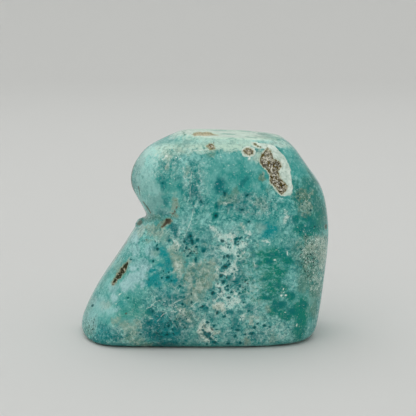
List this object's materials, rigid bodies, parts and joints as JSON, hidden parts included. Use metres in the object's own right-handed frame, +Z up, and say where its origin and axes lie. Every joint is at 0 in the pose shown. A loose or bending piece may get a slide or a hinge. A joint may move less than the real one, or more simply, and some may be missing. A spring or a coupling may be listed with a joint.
{
  "type": "polished blue aragonite freeform",
  "caption": "Polished blue-green aragonite freeform with a leaning rounded head, a side notch, a sloping foot and small crystal-lined pockets; it stands on a flat ground base.",
  "frame": {"origin": "middle of the stone's outer box, on the flat base it stands on", "axes": "+X along the longest side towards the steep end, +Y from the front with the large crystal pocket to the back, +Z up"},
  "size_m": [0.0805, 0.0462, 0.0661],
  "materials": {
    "stone": "polished"
  },
  "bodies": {
    "root": {"aragonite": "stone"}
  },
  "joints": []
}
